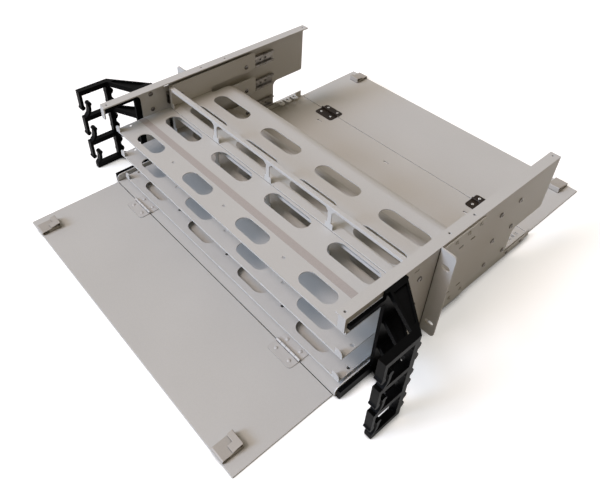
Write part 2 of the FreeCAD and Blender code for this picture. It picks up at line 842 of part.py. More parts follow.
def draw_roll(sketch, start, top):
    """The rear edge that curves down from a tray's top, as two arcs about one centre, in (y, z)."""
    radius = (d.roll_length * d.roll_length + d.roll_drop * d.roll_drop) / (d.roll_drop * 2)
    inner = radius - d.tray_sheet
    centre = top - radius
    turn = math.asin(d.roll_length.number / radius.number)
    middle = FreeCAD.Vector(start.number, centre.number, 0)
    arcs = []
    for arc_radius in (radius, inner):
        circle = Part.Circle(middle, FreeCAD.Vector(0, 0, 1), arc_radius.number)
        arcs.append(Part.ArcOfCircle(circle, math.pi / 2 - turn, math.pi / 2))
        sketch.addGeometry(arcs[-1], False)
    sketch.addGeometry(Part.LineSegment(arcs[0].StartPoint, arcs[1].StartPoint), False)
    sketch.addGeometry(Part.LineSegment(arcs[0].EndPoint, arcs[1].EndPoint), False)
    for line, arc_end in ((2, 1), (3, 2)):
        sketch.addConstraint(Sketcher.Constraint("Coincident", line, 1, 0, arc_end))
        sketch.addConstraint(Sketcher.Constraint("Coincident", line, 2, 1, arc_end))
    sketch.addConstraint(Sketcher.Constraint("Coincident", 0, 3, 1, 3))
    fix_point(sketch, 0, 3, start, centre)
    for arc, arc_radius in enumerate((radius, inner)):
        index = sketch.addConstraint(Sketcher.Constraint("Radius", arc, arc_radius.number))
        sketch.setExpression(f"Constraints[{index}]", arc_radius.formula)
        sketch.addConstraint(Sketcher.Constraint("Vertical", arc, 3, arc, 2))
        reach = start + d.roll_length * arc_radius / radius
        index = sketch.addConstraint(Sketcher.Constraint("DistanceX", -1, 1, arc, 1, reach.number))
        sketch.setExpression(f"Constraints[{index}]", reach.formula)


def make_tray(name, level):
    top = tray_top(level)
    low = top - d.tray_sheet
    apron = APRON_HALF
    apron_rear = TRAY_FRONT + d.apron_depth
    fold_rear = SIDE_START + d.fold_length
    flat_rear = TRAY_FRONT + d.tray_flat_depth
    tail = SIDE_INNER - d.tail_inset
    body = new_body(f"{name}_tray")
    half_outline = [
        (apron, TRAY_FRONT), (apron, apron_rear), (SIDE_OUTER, apron_rear), (SIDE_OUTER, fold_rear),
        (tail, fold_rear), (tail, flat_rear),
    ]
    other_half = [(-x, y) for x, y in reversed(half_outline)]
    slab_z(body, half_outline + other_half, low, top)
    lip = rectangle(-apron, apron, top - d.tray_lip, top)
    slab_y(body, lip, TRAY_FRONT, TRAY_FRONT + d.tray_sheet)
    roll = new_sketch(body, "YZ_Plane", -tail)
    draw_roll(roll, flat_rear, top)
    pad(body, roll, tail * 2)
    roll_end = (flat_rear + d.roll_length).number
    edge_depth = d.tray_sheet.number
    round_edges(
        body, d.roll_corner_radius,
        lambda p, run: abs(run.x) < 0.1 and near(abs(p.x), tail) and abs(p.y - roll_end) < edge_depth,
    )
    side_top = top + SIDE_HEIGHT
    side_rear = SIDE_START + d.side_length
    side = slab_x(
        body,
        [
            (SIDE_START, low), (fold_rear, low), (fold_rear, top + d.side_rise),
            (side_rear, top + d.side_rise), (side_rear, side_top), (SIDE_START, side_top),
        ],
        SIDE_INNER, SIDE_OUTER,
    )
    tab = slab_y(
        body,
        rectangle(apron - d.corner_tab_width, apron, low, top + d.corner_tab_height),
        TRAY_FRONT, TRAY_FRONT + d.tray_sheet,
    )
    mirror_sides(body, [side, tab])
    slots = new_sketch(body, "XY_Plane", top)
    first_column = SLOT_PITCH * (-(SLOT_COLUMNS - 1) / 2)
    draw_slot(slots, first_column, TRAY_FRONT + d.front_row, d.front_slot_length, d.front_slot_width)
    for row in (d.second_row, d.third_row, d.fourth_row):
        draw_slot(slots, first_column, TRAY_FRONT + row, d.slot_length, d.slot_width)
    row_along_x(body, pocket(body, slots, d.tray_sheet), SLOT_PITCH, SLOT_COLUMNS)
    holes = new_sketch(body, "XY_Plane", top)
    for column in range(SLOT_COLUMNS + 1):
        x = SLOT_PITCH * (column - SLOT_COLUMNS / 2)
        draw_circle(holes, x, TRAY_FRONT + d.front_row, d.tie_hole_radius)
    pocket(body, holes, d.tray_sheet)
    round_edges(
        body, d.corner_tab_radius,
        lambda p, run: abs(run.y) > 0.9 and near(abs(p.x), apron) and near(p.z, top + d.corner_tab_height),
    )
    round_edges(
        body, d.side_radius,
        lambda p, run: abs(run.x) > 0.9 and near(p.y, side_rear),
    )
    node(body, f"{name}_tray")


# Adapter frames

def make_adapter_frame(name, level):
    base = tray_top(level)
    top = base + SIDE_HEIGHT - d.frame_drop
    front = TRAY_FRONT + d.frame_setback
    half = FRAME_HALF
    body = new_body(f"{name}_adapter_frame")
    slab_y(body, rectangle(-half, half, base, top), front, front + d.frame_sheet)
    slab_z(body, rectangle(-half, half, front, front + d.rail_depth), top - d.frame_sheet, top)
    slab_z(body, rectangle(-half, half, front, front + d.foot_depth), base, base + d.frame_sheet)
    middle = POST_PITCH * (-(SLOT_COLUMNS - 1) / 2)
    window_half = (POST_PITCH - d.post_width) / 2
    left = middle - window_half
    right = middle + window_half
    sill = base + d.frame_sheet
    head = top - d.window_margin
    step = sill + d.window_step_height
    window = new_sketch(body, "XZ_Plane", -front)
    draw_polygon(
        window,
        [
            (left + d.window_step_width, sill), (right - d.window_step_width, sill),
            (right - d.window_step_width, step), (right, step), (right, head - d.window_gusset),
            (right - d.window_gusset, head), (left + d.window_gusset, head), (left, head - d.window_gusset),
            (left, step), (left + d.window_step_width, step),
        ],
    )
    row_along_x(body, pocket(body, window, d.frame_sheet), POST_PITCH, SLOT_COLUMNS)
    node(body, f"{name}_adapter_frame")


# Ball slides

def slide_screw_places():
    """How far along Y each slide is screwed to its wall."""
    rear = SLIDE_REAR - d.slide_screw_rear
    return (SLIDE_FRONT + d.slide_screw_front, rear - d.slide_screw_pitch, rear)


def slide_strip(name, sign, level, section, start, length):
    """A drawn strip along Y. Its section is given as (distance in from the wall, height from the middle)."""
    body = new_body(name)
    middle = tray_top(level) + d.slide_rise
    outline = [((WALL_INNER - depth) * sign, middle + rise) for depth, rise in section]
    slab_y(body, outline, start, start + length)
    return body


def slide_outer(name, sign, level, section):
    """The member on the wall: it stands off on raised pads and has spare holes near its rear end."""
    body = slide_strip(name, sign, level, section, SLIDE_FRONT, SLIDE_REAR - SLIDE_FRONT)
    middle = tray_top(level) + d.slide_rise
    wall = WALL_INNER * sign
    back = (WALL_INNER - d.slide_standoff) * sign
    face = (WALL_INNER - d.slide_standoff - d.slide_sheet) * sign
    low = wall if sign < 0 else back
    pads = new_sketch(body, "YZ_Plane", low)
    for y in slide_screw_places():
        draw_circle(pads, y, middle, d.slide_pad_radius)
    pad(body, pads, d.slide_standoff)
    holes = new_sketch(body, "YZ_Plane", face if sign < 0 else back)
    for hole in range(SLIDE_HOLES):
        y = SLIDE_REAR - d.slide_hole_rear - d.slide_hole_pitch * hole
        draw_circle(holes, y, middle, d.slide_hole_radius)
    pocket(body, holes, d.slide_sheet)
    return body


def make_slides():
    half = d.slide_height / 2
    skin = d.slide_sheet
    back = d.slide_standoff
    reach = d.slide_thickness - d.slide_lip
    lip = half - skin - d.slide_lip
    outer = [
        (back, -half), (reach, -half), (reach, -lip), (reach - skin, -lip),
        (reach - skin, skin - half), (back + skin, skin - half),
    ]
    outer += [(depth, -rise) for depth, rise in reversed(outer)]
    inner_half = d.inner_height / 2
    far = d.slide_thickness
    shy = back + skin + d.cage_sheet + d.cage_clearance
    inner = [
        (far, -inner_half), (shy, -inner_half),
        (shy, skin - inner_half), (far - skin, skin - inner_half),
    ]
    inner += [(depth, -rise) for depth, rise in reversed(inner)]
    cage_half = half - skin - d.cage_clearance
    web = back + skin + d.cage_clearance / 2
    cage_lip = web + d.cage_sheet
    cage_reach = reach - skin - d.cage_clearance
    cage_low = inner_half + d.cage_clearance
    cage = [(web, -cage_half), (cage_reach, -cage_half), (cage_reach, -cage_low), (cage_lip, -cage_low)]
    cage += [(depth, -rise) for depth, rise in reversed(cage)]
    outers = []
    side_rear = SIDE_START + d.side_length
    for level, name in enumerate(TRAY_NAMES):
        inners = []
        cages = []
        for side, sign in SIDES.items():
            label = f"{name}_{side}_slide"
            outers.append(slide_outer(f"{label}_outer", sign, level, outer))
            run = side_rear - SIDE_START
            inners.append(slide_strip(f"{label}_inner", sign, level, inner, SIDE_START, run))
            cages.append(
                slide_strip(f"{label}_cage", sign, level, cage, side_rear - d.cage_length, d.cage_length)
            )
        node(group(f"{name}_slide_inner_members", inners), f"{name}_slide_inner_members")
        node(group(f"{name}_slide_ball_cages", cages), f"{name}_slide_ball_cages")
    node(group("slide_outer_members", outers), "slide_outer_members")


# Fibre guides

def wavy_finger(tip_y, root_z):
    """Corners of a finger that sweeps back from its root and then stands up to its tip, in (y, z)."""
    half = d.finger_width / 2
    stations = []
    for forward, up in FINGER_SWEEP:
        stations.append((tip_y - d.finger_spacing * forward, root_z + d.rising_finger * up))
    front = [(y - half, z) for y, z in stations]
    rear = [(y + half, z) for y, z in reversed(stations)]
    return front + rear


def make_guide(name, sign):
    body = new_body(f"{name}_fibre_guide")
    ring_inner = (HALF_BODY + d.ring_offset) * sign
    ring_outer = (HALF_BODY + d.ring_offset + d.ring_width) * sign
    x0, x1 = (ring_inner, ring_outer) if sign > 0 else (ring_outer, ring_inner)
    front = FRONT_LINE - d.ring_front
    post_front = FRONT_LINE + d.post_setback
    post_rear = post_front + d.post_depth
    pitch = (d.body_height - d.bar_height) / RINGS
    slab_x(body, rectangle(post_front, post_rear, 0, d.body_height), x0, x1)
    for level in range(RINGS + 1):
        low = pitch * level
        bar_front = front if level > 0 else front + d.short_bar
        slab_x(body, rectangle(bar_front, post_rear, low, low + d.bar_height), x0, x1)
    hanging_y = front + d.finger_width / 2
    rising_y = hanging_y + d.finger_spacing
    for level in range(RINGS):
        root = pitch * level + d.bar_height
        tip = root + d.rising_finger
        ceiling = pitch * (level + 1)
        end = ceiling - d.hanging_finger
        room = ceiling - root
        slab_x(body, wavy_finger(rising_y, root), x0, x1)
        slab_x(body, rectangle(front, front + d.finger_width, end, ceiling), x0, x1)
        rounds = [(rising_y, tip, d.finger_ball), (hanging_y, end, d.finger_ball)]
        for share in LOBE_PLACES:
            rounds.append((post_rear - d.lobe_inset, root + room * share, d.lobe_radius))
        for y, z, radius in rounds:
            disc = new_sketch(body, "YZ_Plane", x0)
            draw_circle(disc, y, z, radius)
            pad(body, disc, d.ring_width)
    make_guide_frame(body, sign)
    for level in range(RINGS + 1):
        make_guide_arm(body, sign, ring_inner, ring_outer, post_rear, pitch * level)
    node(body, f"{name}_fibre_guide")


def make_guide_frame(body, sign):
    """The plate outside the wall with its two bands round the cut-out."""
    frame_front = WALL_FRONT + d.wall_sheet * 2
    frame_rear = CUTOUT_REAR + d.guide_overlap
    inset = CUTOUT_REAR - d.guide_inset
    inner = HALF_BODY * sign
    outer = (HALF_BODY + d.guide_sheet) * sign
    low, high = (inner, outer) if sign > 0 else (outer, inner)
    rear_band = rectangle(inset, frame_rear, 0, d.body_height)
    top_band = rectangle(frame_front, inset + d.guide_band, GUIDE_TOP - d.guide_band, GUIDE_TOP)
    bottom_bar = rectangle(frame_front, inset + d.guide_band, 0, d.base_flange_height)
    for outline in (rear_band, top_band, bottom_bar):
        slab_x(body, outline, low, high)


def make_guide_arm(body, sign, ring_inner, ring_outer, post_rear, low):
    """A tapering arm from the wall plate to the post, with a groove in its top."""
    high = low + d.bar_height
    wall_side = HALF_BODY + d.guide_sheet / 2
    arm_front = CUTOUT_REAR - d.arm_inset
    arm_rear = CUTOUT_REAR + d.guide_overlap
    near_post = FRONT_LINE + d.post_setback + d.post_depth / 2
    outline = [
        (wall_side * sign, arm_front), (ring_inner, near_post),
        (ring_outer, post_rear), (wall_side * sign, arm_rear),
    ]
    slab_z(body, outline, low, high)
    reach = d.ring_offset - d.guide_sheet / 2
    front_slope = (near_post - arm_front) / reach
    rear_slope = (post_rear - arm_rear) / (reach + d.ring_width)
    start = d.guide_sheet / 2 + d.arm_rim
    stop = reach - d.arm_rim
    corners = []
    for run, edge, slope, rim in (
        (start, arm_front, front_slope, d.arm_rim), (stop, arm_front, front_slope, d.arm_rim),
        (stop, arm_rear, rear_slope, -d.arm_rim), (start, arm_rear, rear_slope, -d.arm_rim),
    ):
        corners.append(((wall_side + run) * sign, edge + slope * run + rim))
    groove = new_sketch(body, "XY_Plane", high)
    draw_polygon(groove, corners)
    pocket(body, groove, d.arm_groove)


# Fasteners

def make_fasteners():
    slide_heads = []
    guide_heads = []
    ear_heads = []
    base_heads = []
    for side, sign in SIDES.items():
        outward, inward = ("+x", "-x") if sign > 0 else ("-x", "+x")
        wall_out = HALF_BODY * sign
        wall_in = WALL_INNER * sign
        for level in range(len(TRAY_NAMES)):
            z = tray_top(level) + d.slide_rise
            for y in slide_screw_places():
                slide_heads.append(
                    screw_head("slide_screw", outward, d.screw_radius, d.screw_height, wall_out, y, z)
                )
        guide_y = CUTOUT_REAR + d.guide_screw_setback
        for z in (HIGH_SCREW - d.guide_screw_pitch, HIGH_SCREW):
            guide_heads.append(
                screw_head("guide_screw", inward, d.screw_radius, d.screw_height, wall_in, guide_y, z)
            )
        ear_face = (HALF_BODY + d.ear_sheet) * sign
        radius = d.small_screw_radius
        height = d.small_screw_height
        for column in range(EAR_SCREW_COLUMNS):
            y = EAR_FRONT + d.ear_screw_start + d.ear_screw_pitch * column
            for z in (d.ear_screw_low, d.body_height - d.ear_screw_drop):
                ear_heads.append(screw_head("ear_screw", outward, radius, height, ear_face, y, z))
        first = NOTCH_FRONT + d.notch_radius
        for y in (first, first + d.base_screw_pitch):
            z = (d.notch_bottom + d.plate_sheet) / 2
            base_heads.append(screw_head("base_screw", outward, radius, height, wall_out, y, z))
    node(group("slide_screws", slide_heads), "slide_screws")
    node(group("guide_screws", guide_heads), "guide_screws")
    node(group("ear_screws", ear_heads), "ear_screws")
    node(group("base_screws", base_heads), "base_screws")
    for level, name in enumerate(TRAY_NAMES):
        heads = []
        z = tray_top(level) + d.tray_screw_rise
        for side, sign in SIDES.items():
            inward = "-x" if sign > 0 else "+x"
            for y in (SIDE_START + d.tray_screw_inset, SIDE_START + d.side_length - d.tray_screw_inset):
                heads.append(
                    screw_head("tray_screw", inward, d.screw_radius, d.screw_height, SIDE_INNER * sign, y, z)
                )
        node(group(f"{name}_tray_screws", heads), f"{name}_tray_screws")


# The whole panel

def check_document():
    doc.recompute()
    for obj in doc.Objects:
        if "Invalid" in obj.State or "Error" in obj.State:
            raise RuntimeError(f"{obj.Name} failed: {obj.State}")
    for obj in NODES:
        if obj.Shape.isNull() or not obj.Shape.isValid() or not obj.Shape.Solids:
            raise RuntimeError(f"{obj.Label} has no valid solid")


def export_nodes():
    os.makedirs("parts", exist_ok=True)
    for obj in NODES:
        obj.Shape.exportStep(os.path.join("parts", f"{obj.Label}.step"))


make_base_plate()
for side_name, side_sign in SIDES.items():
    make_wall(side_name, side_sign)
    make_ear(side_name, side_sign)
    make_guide(side_name, side_sign)
for door_name, door_sign in (("front", -1.0), ("rear", 1.0)):
    make_door(door_name, door_sign)
    make_hinges(door_name, door_sign)
    make_latches(door_name, door_sign)
for tray_level, tray_name in enumerate(TRAY_NAMES):
    make_tray(tray_name, tray_level)
    make_adapter_frame(tray_name, tray_level)
make_slides()
make_fasteners()
check_document()
export_nodes()
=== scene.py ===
"""Looks of an open rack-mounted fibre patch panel: painted sheet, moulded guides, plated slides, screws.

Sizes are in millimetres and turned to metres where they meet the frame.
"""

import json
import math

import bmesh
import bpy
from mathutils import Matrix, Vector


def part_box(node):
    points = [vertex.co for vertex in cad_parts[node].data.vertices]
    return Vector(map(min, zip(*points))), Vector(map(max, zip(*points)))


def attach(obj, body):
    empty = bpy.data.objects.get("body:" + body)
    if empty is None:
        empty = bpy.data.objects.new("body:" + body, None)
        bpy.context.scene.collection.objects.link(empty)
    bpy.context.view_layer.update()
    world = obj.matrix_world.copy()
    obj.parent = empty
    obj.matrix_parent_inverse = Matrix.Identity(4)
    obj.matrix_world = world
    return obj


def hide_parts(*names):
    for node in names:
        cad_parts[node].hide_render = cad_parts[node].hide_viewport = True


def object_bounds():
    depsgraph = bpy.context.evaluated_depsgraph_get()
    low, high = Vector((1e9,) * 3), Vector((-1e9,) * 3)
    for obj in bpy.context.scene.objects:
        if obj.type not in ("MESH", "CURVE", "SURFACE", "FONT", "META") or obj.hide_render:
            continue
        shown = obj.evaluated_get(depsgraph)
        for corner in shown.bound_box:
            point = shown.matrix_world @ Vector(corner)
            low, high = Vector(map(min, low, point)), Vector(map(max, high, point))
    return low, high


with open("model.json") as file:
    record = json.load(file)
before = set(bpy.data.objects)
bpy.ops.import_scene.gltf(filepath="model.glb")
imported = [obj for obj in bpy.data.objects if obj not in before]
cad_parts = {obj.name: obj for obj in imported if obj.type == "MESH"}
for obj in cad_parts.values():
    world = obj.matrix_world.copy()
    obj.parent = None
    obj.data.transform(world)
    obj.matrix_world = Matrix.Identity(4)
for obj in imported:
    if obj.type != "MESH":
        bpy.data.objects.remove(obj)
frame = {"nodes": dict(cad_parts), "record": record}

CAD_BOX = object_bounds()
MM = 0.001

SLOT_OF = {part["node"]: part["material_slot"] for part in frame["record"]["subparts"]}
BODY_OF = {node: body for body, nodes in frame["record"]["behaviour"]["bodies"].items() for node in nodes}
TRAYS = ("lower", "middle", "upper")
SQUARE = ((-1, -1), (1, -1), (1, 1), (-1, 1))


# Shader helpers


def hex_linear(code):
    """Linear RGBA of an sRGB hex colour."""
    channels = [int(code[i:i + 2], 16) / 255 for i in (1, 3, 5)]
    return tuple(c / 12.92 if c <= 0.04045 else ((c + 0.055) / 1.055) ** 2.4 for c in channels) + (1.0,)


def per_metre(size_mm):
    """Noise scale whose features are about this many millimetres wide."""
    return 1.0 / (size_mm * MM)


def add_node(tree, kind, links=None, values=None, stops=(), **settings):
    """Adds a shader node with its settings, its socket values, its colour stops and the links into it."""
    made = tree.nodes.new(kind)
    for name, value in settings.items():
        setattr(made, name, value)
    for name, value in (values or {}).items():
        made.inputs[name].default_value = value
    for index, (place, colour) in enumerate(stops):
        made.color_ramp.elements[index].position = place
        made.color_ramp.elements[index].color = hex_linear(colour)
    for name, source in (links or {}).items():
        tree.links.new(source, made.inputs[name])
    return made


def new_finish(name):
    """A new material with an empty tree that holds only its output."""
    material = bpy.data.materials.new(name)
    material.use_nodes = True
    material.node_tree.nodes.clear()
    output = add_node(material.node_tree, "ShaderNodeOutputMaterial")
    return material, material.node_tree, output


# Finishes

# Most values of a noise texture lie between these two.
NOISE_LOW = 0.3
NOISE_HIGH = 0.7
# Openness of a corner at which the painted shade is full, and at which there is none.
PAINTED_SHADE_FULL = 0.25
PAINTED_SHADE_NONE = 0.8
OPENNESS_SAMPLES = 8
# The colour sockets of a mix node, which have the same names as its other sockets.
MIX_FIRST = 6
MIX_SECOND = 7
MIX_RESULT = 2


def powder_coat(name, pale, dull, roughness, painted_shade_colour, painted_shade_reach):
    """Polyester powder coat baked on steel sheet: an even warm grey, half matt, with a fine orange peel
    that breaks up reflections, a fine grit in its tone, a faint cloudiness where it has been handled and
    painted shade: thin dark lines in its folds and joints, darkest where they are most closed in."""
    material, tree, output = new_finish(name)
    place = add_node(tree, "ShaderNodeTexCoord").outputs["Object"]
    cloud = add_node(tree, "ShaderNodeTexNoise", {"Vector": place},
                     {"Scale": per_metre(120), "Detail": 2.0, "Roughness": 0.5})
    # The grit of the powder is about 0.05 mm: it is drawn 1 mm wide so that it shows.
    grit = add_node(tree, "ShaderNodeTexNoise", {"Vector": place},
                    {"Scale": per_metre(1.0), "Detail": 2.0, "Roughness": 0.6})
    tone = add_node(tree, "ShaderNodeMath", {0: cloud.outputs["Fac"], 1: grit.outputs["Fac"]},
                    operation="ADD")
    half = add_node(tree, "ShaderNodeMath", {0: tone.outputs["Value"]}, {1: 0.5}, operation="MULTIPLY")
    blend = add_node(tree, "ShaderNodeValToRGB", {"Fac": half.outputs["Value"]},
                     stops=((NOISE_LOW, dull), (NOISE_HIGH, pale)))
    # Painted shade: the paint turns towards the given dark colour where nearby surfaces close it in.
    corner = add_node(tree, "ShaderNodeAmbientOcclusion", values={"Distance": painted_shade_reach * MM},
                      samples=OPENNESS_SAMPLES)
    unshaded_share = add_node(tree, "ShaderNodeMapRange", {"Value": corner.outputs["AO"]},
                     {"From Min": PAINTED_SHADE_FULL, "From Max": PAINTED_SHADE_NONE})
    shaded_paint = add_node(tree, "ShaderNodeMix",
                     {"Factor": unshaded_share.outputs["Result"], MIX_SECOND: blend.outputs["Color"]},
                     {MIX_FIRST: hex_linear(painted_shade_colour)}, data_type="RGBA")
    gloss = add_node(tree, "ShaderNodeMapRange", {"Value": cloud.outputs["Fac"]},
                     {"From Min": NOISE_LOW, "From Max": NOISE_HIGH,
                      "To Min": roughness - 0.04, "To Max": roughness + 0.06})
    # Real orange peel is about 0.5 mm across: it is drawn 2 mm wide so that it shows.
    peel = add_node(tree, "ShaderNodeTexNoise", {"Vector": place},
                    {"Scale": per_metre(2.0), "Detail": 1.0, "Roughness": 0.4})
    bump = add_node(tree, "ShaderNodeBump", {"Height": peel.outputs["Fac"]},
                    {"Strength": 0.1, "Distance": 0.1 * MM})
    paint = add_node(tree, "ShaderNodeBsdfPrincipled",
                     {"Base Color": shaded_paint.outputs[MIX_RESULT], "Roughness": gloss.outputs["Result"],
                      "Normal": bump.outputs["Normal"]}, {"IOR": 1.5})
    tree.links.new(paint.outputs["BSDF"], output.inputs["Surface"])
    return material


def grained_black(name, colour, worn, ior, sheen):
    """Black ABS from a spark-eroded mould, or black enamel stoved on steel: a deep satin black with a fine
    even grain and slightly greyer rubbed patches."""
    material, tree, output = new_finish(name)
    place = add_node(tree, "ShaderNodeTexCoord").outputs["Object"]
    rub = add_node(tree, "ShaderNodeTexNoise", {"Vector": place},
                   {"Scale": per_metre(25), "Detail": 4.0, "Roughness": 0.6})
    blend = add_node(tree, "ShaderNodeValToRGB", {"Fac": rub.outputs["Fac"]},
                     stops=((0.45, colour), (0.75, worn)))
    gloss = add_node(tree, "ShaderNodeMapRange", {"Value": rub.outputs["Fac"]},
                     {"From Min": NOISE_LOW, "From Max": NOISE_HIGH, "To Min": 0.38, "To Max": 0.5})
    # Spark grain is about 0.1 mm: it is drawn 0.8 mm wide so that it shows.
    grain = add_node(tree, "ShaderNodeTexNoise", {"Vector": place},
                     {"Scale": per_metre(0.8), "Detail": 2.0, "Roughness": 0.5})
    bump = add_node(tree, "ShaderNodeBump", {"Height": grain.outputs["Fac"]},
                    {"Strength": 0.2, "Distance": 0.06 * MM})
    black = add_node(tree, "ShaderNodeBsdfPrincipled",
                     {"Base Color": blend.outputs["Color"], "Roughness": gloss.outputs["Result"],
                      "Normal": bump.outputs["Normal"]}, {"IOR": ior, "Specular IOR Level": sheen})
    tree.links.new(black.outputs["BSDF"], output.inputs["Surface"])
    return material


def plated_steel(name, bright, dull, roughness):
    """Clear zinc plate on steel: a bright metal with a soft uneven sheen from the plating bath and fine
    rolling lines along the depth of the panel."""
    material, tree, output = new_finish(name)
    place = add_node(tree, "ShaderNodeTexCoord").outputs["Object"]
    bath = add_node(tree, "ShaderNodeTexNoise", {"Vector": place},
                    {"Scale": per_metre(9), "Detail": 3.0, "Roughness": 0.6})
    blend = add_node(tree, "ShaderNodeValToRGB", {"Fac": bath.outputs["Fac"]},
                     stops=((0.35, dull), (0.65, bright)))
    gloss = add_node(tree, "ShaderNodeMapRange", {"Value": bath.outputs["Fac"]},
                     {"From Min": NOISE_LOW, "From Max": NOISE_HIGH,
                      "To Min": roughness - 0.06, "To Max": roughness + 0.08})
    # Rolling lines are far finer than a millimetre: they are drawn 0.6 mm wide and 24 mm long.
    stretch = add_node(tree, "ShaderNodeMapping", {"Vector": place},
                       {"Scale": (per_metre(0.6), per_metre(24), per_metre(0.6))})
    lines = add_node(tree, "ShaderNodeTexNoise", {"Vector": stretch.outputs["Vector"]},
                     {"Scale": 1.0, "Detail": 2.0})
    bump = add_node(tree, "ShaderNodeBump", {"Height": lines.outputs["Fac"]},
                    {"Strength": 0.15, "Distance": 0.04 * MM})
    metal = add_node(tree, "ShaderNodeBsdfPrincipled",
                     {"Base Color": blend.outputs["Color"], "Roughness": gloss.outputs["Result"],
                      "Normal": bump.outputs["Normal"]}, {"Metallic": 1.0})
    tree.links.new(metal.outputs["BSDF"], output.inputs["Surface"])
    return material


def band_film():
    """A thin film of dull taupe, flatter and a little darker than the paint round it, with a fine even
    tooth from its matt coating."""
    material, tree, output = new_finish("matt_taupe_film")
    place = add_node(tree, "ShaderNodeTexCoord").outputs["Object"]
    # The tooth of the coating is finer than 0.1 mm: it is drawn 1.2 mm wide so that it shows.
    tooth = add_node(tree, "ShaderNodeTexNoise", {"Vector": place},
                     {"Scale": per_metre(1.2), "Detail": 2.0, "Roughness": 0.5})
    blend = add_node(tree, "ShaderNodeValToRGB", {"Fac": tooth.outputs["Fac"]},
                     stops=((NOISE_LOW, "#A59E9A"), (NOISE_HIGH, "#ADA6A2")))
    bump = add_node(tree, "ShaderNodeBump", {"Height": tooth.outputs["Fac"]},
                    {"Strength": 0.1, "Distance": 0.03 * MM})
    film = add_node(tree, "ShaderNodeBsdfPrincipled",
                    {"Base Color": blend.outputs["Color"], "Normal": bump.outputs["Normal"]},
                    {"Roughness": 0.6, "IOR": 1.57})
    tree.links.new(film.outputs["BSDF"], output.inputs["Surface"])
    return material


FINISHES = {
    # In each powder coat, the last two values are the colour of its painted shade in folds and joints and
    # how far that shade reaches, in millimetres.
    "panel_grey": powder_coat("warm_grey_powder_coat", "#C2C1BE", "#BAB9B6", 0.45, "#4A443D", 1.7),
    "hinge_grey": powder_coat("hinge_grey_powder_coat", "#BFBDBA", "#B5B3B0", 0.40, "#2E2A26", 1.8),
    "latch_grey": powder_coat("latch_grey_powder_coat", "#ACA7A0", "#A09B94", 0.38, "#1C1916", 3.0),
    "guide_black": grained_black("black_moulded_abs", "#030303", "#070708", 1.53, 0.05),
    "hinge_black": grained_black("black_stoved_enamel", "#1C140D", "#2B2118", 1.5, 0.2),
    "bright_steel": plated_steel("bright_zinc_plate", "#D6D6D4", "#B2B0AD", 0.24),
    "slide_zinc": plated_steel("clear_zinc_plate", "#A6A19A", "#7D7973", 0.32),
}
# Painted shade: a darker copy of the bright zinc plate for the screws on the walls, base and trays, standing
# in for the dim surroundings they face.
SHADED_SCREW_FINISH = plated_steel("shaded_zinc_plate", "#7A756F", "#524E4A", 0.26)


# Carried-over pieces: finish and soft edges

EDGE_RADIUS = {
    "panel_grey": 0.35,
    "hinge_grey": 0.25,
    "latch_grey": 0.3,
    "guide_black": 0.5,
    "hinge_black": 0.25,
    "bright_steel": 0.2,
    "slide_zinc": 0.2,
}
SAME_POINT = 0.002
FLAT_ENOUGH = math.radians(0.6)
SHARP_ENOUGH = math.radians(38)


def soften_edges(piece, radius_mm):
    """Rounds the sharp edges of a carried-over piece, so that they catch the light as pressed sheet does."""
    seams = piece.modifiers.new("close_seams", "WELD")
    seams.merge_threshold = SAME_POINT * MM
    flats = piece.modifiers.new("join_flats", "DECIMATE")
    flats.decimate_type = "DISSOLVE"
    flats.angle_limit = FLAT_ENOUGH
    edges = piece.modifiers.new("soft_edges", "BEVEL")
    edges.width = radius_mm * MM
    edges.segments = 2
    edges.limit_method = "ANGLE"
    edges.angle_limit = SHARP_ENOUGH
    edges.use_clamp_overlap = True
    edges.loop_slide = False
    shading = piece.modifiers.new("even_shading", "WEIGHTED_NORMAL")
    shading.keep_sharp = False


def dress_carried_pieces():
    """Gives each carried-over piece the finish of its slot and soft edges to suit it."""
    for name, piece in frame["nodes"].items():
        slot = SLOT_OF[name]
        piece.data.materials.clear()
        piece.data.materials.append(FINISHES[slot])
        soften_edges(piece, EDGE_RADIUS[slot])


# Mesh helpers


def circle(radius, level, steps):
    """Points of a level circle about Z."""
    turns = [2 * math.pi * k / steps for k in range(steps)]
    return [Vector((radius * math.cos(a), radius * math.sin(a), level)) for a in turns]


def add_band(made, lower, upper):
    """Joins two rings of as many points with a band of four-sided faces."""
    for k in range(len(lower)):
        made.faces.new((lower[k - 1], lower[k], upper[k], upper[k - 1]))


def as_mesh(name, made):
    """Turns a finished edit mesh into a mesh, and frees it."""
    mesh = bpy.data.meshes.new(name)
    made.to_mesh(mesh)
    made.free()
    return mesh


def as_object(name, made):
    """Turns a finished edit mesh into an object in the scene."""
    piece = bpy.data.objects.new(name, as_mesh(name, made))
    bpy.context.scene.collection.objects.link(piece)
    return piece


def smooth_rounds(piece):
    """Shades round faces as smooth and keeps the sharp edges between them."""
    for face in piece.data.polygons:
        face.use_smooth = True
    piece.data.set_sharp_from_angle(angle=SHARP_ENOUGH)


# Screws and rivets: a head has unit radius and unit height until it is seated

TURN_STEPS = 28
RECESS_ARM = 0.52
RECESS_WIDTH = 0.17
RECESS_DEPTH = 0.55
RECESS_MOUTH = 1.2
RECESS_TAPER = 0.8
GOLDEN_TURN = math.radians(137.5)
PAN_PROFILE = ((1.0, 0.0), (1.0, 0.32), (0.95, 0.56), (0.83, 0.76), (0.62, 0.9), (0.34, 0.98), (0.0, 1.0))
DOME_PROFILE = ((1.0, 0.0), (0.97, 0.2), (0.86, 0.5), (0.66, 0.75), (0.36, 0.94), (0.0, 1.0))


def turned_head(profile):
    """A head turned about Z from its profile, which ends on the axis."""
    head = bmesh.new()
    rings = []
    for radius, height in profile[:-1]:
        rings.append([head.verts.new(point) for point in circle(radius, height, TURN_STEPS)])
    top = head.verts.new((0, 0, profile[-1][1]))
    for lower, upper in zip(rings, rings[1:]):
        add_band(head, lower, upper)
    for k in range(TURN_STEPS):
        head.faces.new((rings[-1][k - 1], rings[-1][k], top))
    head.faces.new(reversed(rings[0]))
    return head


